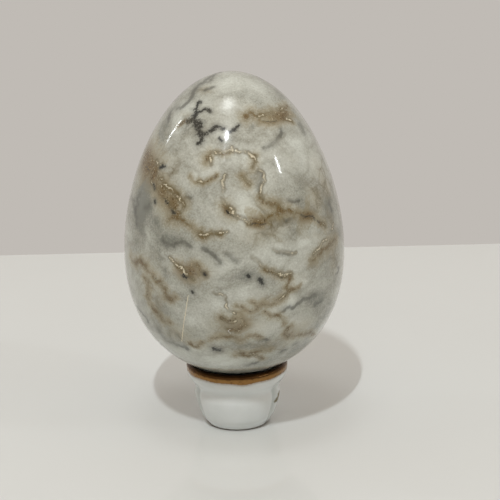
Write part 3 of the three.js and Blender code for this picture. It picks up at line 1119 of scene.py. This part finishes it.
@dataclass
class PorcelainStand:
    """The small grooved cup with its gilt lip.

    All sizes are in millimetres, and they repeat those of the solid that the stand replaces. The points of
    the outer side are a radius and a height. The drip is a low place in the gilding's edge: its direction in
    degrees, its depth, and half its width in radians. The gilt darkening, which is painted shade on the
    lip's top under the egg, and the unglazed foot, which is also darkened as painted contact shade, are a
    height and how far they take to fade. The touch is one small olive-dark stroke on the right side, with
    its lean and width in radians.
    """

    collar: Pixel = (12.05, 12.6)
    flare: Pixel = (10.8, 10.7)
    neck: Pixel = (10.35, 9.5)
    belly: Pixel = (10.5, 7.6)
    hip: Pixel = (9.95, 5.0)
    ankle: Pixel = (9.05, 2.5)
    heel: Pixel = (7.85, 0.7)
    foot: Pixel = (7.3, 0.0)
    wall: float = 2.1
    foot_ring: float = 1.6
    foot_recess: float = 0.6
    cup_floor: float = 1.9
    cup_corner: float = 3.0
    groove_depth: float = 0.09
    groove_half_width: float = 6.0
    grooves: tuple[float, float, float] = (-72.0, 62.0, 175.0)
    crowding: float = 0.6
    gilt_edge: float = 14.0
    sides_per_lobe: int = 100
    side_rows: int = 120
    lip_rows: int = 36
    inner_rows: int = 40
    corner_rows: int = 12
    drip: tuple[float, float, float] = (6.0, 0.24, 0.16)
    # Painted shade on the lip's top: the height where it starts and how far it takes to fade.
    gilt_darkening: tuple[float, float] = (14.7, 0.9)
    # Painted contact shade on the unglazed foot: the height below which it lies and how far it takes to
    # fade.
    bare_and_shaded_foot: tuple[float, float] = (0.6, 0.35)
    touch_direction: float = 72.0
    touch_height: float = 6.9
    touch_reach: float = 1.6
    touch_lean: float = 0.05
    touch_width: float = 0.085
    finish: PorcelainFinish = field(default_factory=PorcelainFinish)
    node: str = "porcelain_stand"

    def __post_init__(self) -> None:
        """Take the rim's size from the frame."""
        low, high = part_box(self.node)
        self.rim_radius = (high[0] - low[0]) / 2 / MM
        self.height = high[2] / MM

    def outside(self, rows: int) -> np.ndarray:
        """Return the outer side from the foot to the lip as a smooth curve, radius and height a row."""
        lip = (self.rim_radius, self.height - self.wall / 2)
        knots = np.array([
            self.foot, self.heel, self.ankle, self.hip, self.belly, self.neck, self.flare, self.collar, lip
        ])
        ends = np.vstack([knots[:1], knots, knots[-1:]])
        rows_out = []
        for at in np.linspace(0.0, len(knots) - 1, rows, endpoint=False):
            step, share = int(at), at - int(at)
            p0, p1, p2, p3 = ends[step : step + 4]
            slope_in, slope_out = (p2 - p0) * 0.5, (p3 - p1) * 0.5
            rows_out.append(
                (2 * p1 - 2 * p2 + slope_in + slope_out) * share**3
                + (-3 * p1 + 3 * p2 - 2 * slope_in - slope_out) * share**2
                + slope_in * share
                + p1
            )
        return np.array(rows_out)

    def outline(self) -> np.ndarray:
        """Return the whole outline, from the middle of the underside round to the cup's floor."""
        ring_inside = self.foot[0] - self.foot_ring
        under = [(0.0, self.foot_recess)]
        recess_radii = np.linspace(1.5, ring_inside - self.foot_recess, 4)
        under += [(radius, self.foot_recess) for radius in recess_radii]
        under += [(ring_inside - 0.12, 0.05), (ring_inside, 0.0), (self.foot[0] - 0.5, 0.0)]
        side = self.outside(self.side_rows)
        lip_turn = np.linspace(0.0, math.pi, self.lip_rows)
        half = self.wall / 2
        lip = np.stack([
            self.rim_radius - half + half * np.cos(lip_turn), self.height - half + half * np.sin(lip_turn)
        ], axis=1)
        floor_top = self.foot_recess + self.cup_floor
        wall_foot = floor_top + self.cup_corner
        inner_heights = np.linspace(self.height - half, wall_foot, self.inner_rows)[1:]
        inner_radii = np.interp(inner_heights, side[:, 1], side[:, 0]) - self.wall
        inner = np.stack([inner_radii, inner_heights], axis=1)
        corner_middle = inner[-1, 0] - self.cup_corner
        corner_turn = np.linspace(0.0, math.pi / 2, self.corner_rows)[1:]
        corner = np.stack([
            corner_middle + self.cup_corner * np.cos(corner_turn),
            wall_foot - self.cup_corner * np.sin(corner_turn),
        ], axis=1)
        floor_radii = np.linspace(corner_middle * 0.75, corner_middle * 0.25, 3)
        floor = [(radius, floor_top) for radius in floor_radii]
        return np.vstack([under, side[1:], lip, inner, corner, floor, [(0.0, floor_top)]])

    def groove_share(self, heights: np.ndarray) -> np.ndarray:
        """Return how much of the groove depth shows at each height."""
        def step(value: np.ndarray, low: float, high: float) -> np.ndarray:
            share = np.clip((value - low) / (high - low), 0.0, 1.0)
            return share * share * (3 - 2 * share)
        fading = 1 - step(heights, self.neck[1], self.collar[1])
        return fading * (0.15 + 0.85 * step(heights, 0.0, self.hip[1]))

    def facet_edges(self) -> tuple[np.ndarray, np.ndarray]:
        """Return the direction of each facet's edge, and how near it is to a groove from 0 to 1."""
        along = np.arange(self.sides_per_lobe) / self.sides_per_lobe
        eased = along - self.crowding * np.sin(math.tau * along) / math.tau
        directions, near = [], []
        for start, end in zip(self.grooves, (*self.grooves[1:], self.grooves[0] + 360.0)):
            degrees = start + (end - start) * eased
            directions.append(np.radians(degrees))
            away = np.minimum(degrees - start, end - degrees) / self.groove_half_width
            near.append(np.exp(-(away**2)))
        return np.concatenate(directions), np.concatenate(near)

    def build(self) -> bpy.types.Object:
        """Make the stand's fine mesh, dress it and hang it on the frame."""
        outline = self.outline()
        rings = outline[1:-1]
        heading, near_groove = self.facet_edges()
        sides = len(heading)
        depth = (self.groove_depth * self.groove_share(rings[:, 1]))[:, None]
        radii = rings[:, :1] * (1 - depth * near_groove[None, :])
        heights = np.repeat(rings[:, 1:2], sides, axis=1)
        grid = np.stack([radii * np.sin(heading), -radii * np.cos(heading), heights], axis=2).reshape(-1, 3)
        points = np.vstack([grid, [[0, 0, outline[0, 1]], [0, 0, outline[-1, 1]]]]) * MM
        faces = []
        count = len(rings)
        for ring in range(count - 1):
            for side in range(sides):
                ahead = (side + 1) % sides
                low, high = ring * sides, (ring + 1) * sides
                faces.append((low + side, low + ahead, high + ahead, high + side))
        under, floor = len(grid), len(grid) + 1
        top = (count - 1) * sides
        for side in range(sides):
            ahead = (side + 1) % sides
            faces.append((under, ahead, side))
            faces.append((floor, top + side, top + ahead))
        mesh = bpy.data.meshes.new("glazed_stand")
        mesh.from_pydata(points.tolist(), [], faces)
        mesh.shade_smooth()
        self.mark(mesh, rings, heading, near_groove)
        stand = bpy.data.objects.new("glazed_stand", mesh)
        bpy.context.collection.objects.link(stand)
        mesh.materials.append(self.finish.make())
        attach(stand, "root")
        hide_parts(self.node)
        LOG.info("glazed stand: %d faces", len(mesh.polygons))
        return stand

    def mark(
        self, mesh: bpy.types.Mesh, rings: np.ndarray, heading: np.ndarray, near_groove: np.ndarray
    ) -> None:
        """Store the gilding, the painted shade on the lip's top, the pooled glaze in the grooves, the
        unglazed foot with its painted contact shade, and one olive-dark stroke.
        """
        drip_direction, drip_depth, drip_width = self.drip
        drip = drip_depth * np.exp(-(((heading - math.radians(drip_direction)) / drip_width) ** 2))
        waver = 0.09 * np.sin(3 * heading + 1.0) + 0.05 * np.sin(11 * heading)
        heights = rings[:, 1:2]
        gilt = heights - (self.gilt_edge - drip - waver)[None, :]
        lip_top = int(heights.argmax())
        gilt[lip_top + self.lip_rows // 2 :] -= 0.5
        crease = self.groove_share(heights) * near_groove[None, :]
        # The foot's lowest band: unglazed, and darkened by colour as painted contact shade.
        bare_and_shaded_top, bare_and_shaded_fade = self.bare_and_shaded_foot
        bare_and_shaded = np.clip((bare_and_shaded_top - heights) / bare_and_shaded_fade, 0.0, 1.0) * np.ones_like(crease)
        # Painted shade: from this height up, and over the lip's top under the egg, the gilt is darkened by
        # colour.
        lip_shade_foot, lip_shade_fade = self.gilt_darkening
        inner = np.clip((heights - lip_shade_foot) / lip_shade_fade, 0.0, 1.0) * np.ones_like(crease)
        inner[lip_top:] = 1.0
        above = heights - self.touch_height
        direction = math.radians(self.touch_direction)
        aside = (heading[None, :] - direction - above * self.touch_lean) / self.touch_width
        stroke = np.exp(-(aside**2) - (above / self.touch_reach) ** 4)
        stroke[lip_top:] = 0.0
        for name, values in {
            "gilt": gilt, "crease": crease, "bare_and_shaded": bare_and_shaded, "inner": inner, "stroke": stroke
        }.items():
            ends = [-5.0, -5.0] if name == "gilt" else [0.0, 0.0]
            MarbleEgg.store(mesh, name, np.append(values.ravel(), ends))


@dataclass(frozen=True)
class Lamp:
    """One lamp of the studio.

    Attributes:
        name: What it is called.
        azimuth: Direction it stands in, in degrees from the front, to the right.
        rise: How high it stands above the level, in degrees.
        distance: How far it stands from the egg, in metres.
        size: Its width and height in metres.
        power: Its light in watts.
        colour: Its colour.
    """

    name: str
    azimuth: float
    rise: float
    distance: float
    size: tuple[float, float]
    power: float
    colour: Colour = (0.925, 0.97, 0.985)


@dataclass
class Studio:
    """The plain pale floor, the soft light, the plain tone behind and the camera.

    Attributes:
        view: The camera.
        floor_colour: The floor.
        tone_behind: What shows past the floor's far edge.
        room_light: Colour of the light that comes from all round.
        room_low: Its strength near the level.
        room_high: Its strength high up.
        floor_back: How far behind the object the floor ends, in metres.
        floor_reach: How far it goes the other ways.
        lamps: The lamps.
    """

    view: PhotoView
    floor_colour: Colour = screen_colour(219, 222, 221)
    tone_behind: Colour = screen_colour(192, 187, 181)
    room_light: Colour = (1.0, 0.81, 0.64)
    room_low: float = 0.10
    room_high: float = 0.68
    floor_back: float = 0.145
    floor_reach: float = 1.5
    lamps: tuple[Lamp, ...] = (
        Lamp("key_lamp", -10.0, 54.0, 2.2, (0.032, 0.17), 20.5),
        Lamp("key_glow", -12.5, 46.0, 1.2, (0.010, 0.34), 0.18),
        Lamp("left_lamp", -109.5, 31.0, 0.3, (0.006, 0.075), 0.03),
        Lamp("right_lamp", 64.5, 28.5, 1.4, (0.028, 0.20), 1.5),
        Lamp("overhead_soft", -25.0, 81.5, 0.9, (0.19, 0.19), 0.42),
        Lamp("overhead_wide", -25.0, 81.5, 0.88, (0.34, 0.34), 0.55),
    )

    def build(self) -> None:
        """Make the whole studio."""
        self.view.make()
        self.make_floor()
        for lamp in self.lamps:
            self.make_lamp(lamp)
        self.make_room()
        bpy.context.scene.view_settings.view_transform = "Standard"
        LOG.info("studio: %d lamps", len(self.lamps))

    def make_room(self) -> None:
        """Light the room: a soft glow that grows with height in front, and one plain tone behind."""
        world = bpy.data.worlds.new("soft_room")
        world.use_nodes = True
        nodes, links = world.node_tree.nodes, world.node_tree.links
        room, behind = nodes["Background"], nodes.new("ShaderNodeBackground")
        room.inputs["Color"].default_value = (*self.room_light, 1.0)
        behind.inputs["Color"].default_value = (*self.tone_behind, 1.0)
        split = nodes.new("ShaderNodeSeparateXYZ")
        links.new(nodes.new("ShaderNodeTexCoord").outputs["Generated"], split.inputs[0])
        both = nodes.new("ShaderNodeMixShader")
        for source, target, span in (
            (split.outputs["Z"], room.inputs["Strength"], (-0.05, 0.8, self.room_low, self.room_high)),
            (split.outputs["Y"], both.inputs[0], (0.0, 0.1, 0.0, 1.0)),
        ):
            graded = nodes.new("ShaderNodeMapRange")
            links.new(source, graded.inputs[0])
            for socket, value in zip(graded.inputs[1:5], span):
                socket.default_value = value
            links.new(graded.outputs[0], target)
        links.new(room.outputs[0], both.inputs[1])
        links.new(behind.outputs[0], both.inputs[2])
        links.new(both.outputs[0], nodes["World Output"].inputs["Surface"])
        bpy.context.scene.world = world

    def make_floor(self) -> None:
        """Make the plain floor, which ends a short way behind the object."""
        reach, back = self.floor_reach, self.floor_back
        mesh = bpy.data.meshes.new("floor")
        corners = ((-reach, -reach, 0), (reach, -reach, 0), (reach, back, 0), (-reach, back, 0))
        mesh.from_pydata(corners, [], [(0, 1, 2, 3)])
        floor = bpy.data.objects.new("floor", mesh)
        bpy.context.collection.objects.link(floor)
        shader = Shader("pale_floor")
        mottle = shader.noise(shader.place(), 14.0, 5.0).outputs[0]
        darker_mottle = tuple(part * 0.8 for part in self.floor_colour)
        shader.set(
            Base_Color=shader.blend(shader.spread(mottle, 0.3, 0.8, 0.0, 0.12), self.floor_colour, darker_mottle),
            Roughness=0.5,
            Coat_Weight=0.8,
            Coat_Roughness=0.03,
        )
        mesh.materials.append(shader.material)

    def make_lamp(self, lamp: Lamp) -> None:
        """Hang one lamp in its direction from the egg, facing it."""
        data = bpy.data.lights.new(lamp.name, "AREA")
        data.shape = "ELLIPSE"
        data.size, data.size_y = lamp.size
        data.energy = lamp.power
        data.color = lamp.colour
        azimuth, rise = math.radians(lamp.azimuth), math.radians(lamp.rise)
        way = Vector((
            math.sin(azimuth) * math.cos(rise), -math.cos(azimuth) * math.cos(rise), math.sin(rise)
        ))
        light = bpy.data.objects.new(lamp.name, data)
        light.location = Vector((0.0, 0.0, self.view.centre)) + way * lamp.distance
        light.rotation_euler = way.to_track_quat("Z", "Y").to_euler()
        bpy.context.collection.objects.link(light)


def main() -> None:
    """Build the object and its studio."""
    logging.basicConfig(level=logging.INFO, format="%(message)s")
    form = EggForm.from_node("marble_egg")
    view = PhotoView(centre=form.pole + form.height / 2)
    Studio(view).build()
    PorcelainStand().build()
    MarbleEgg(form, view).build()


if __name__ == "__main__":
    main()
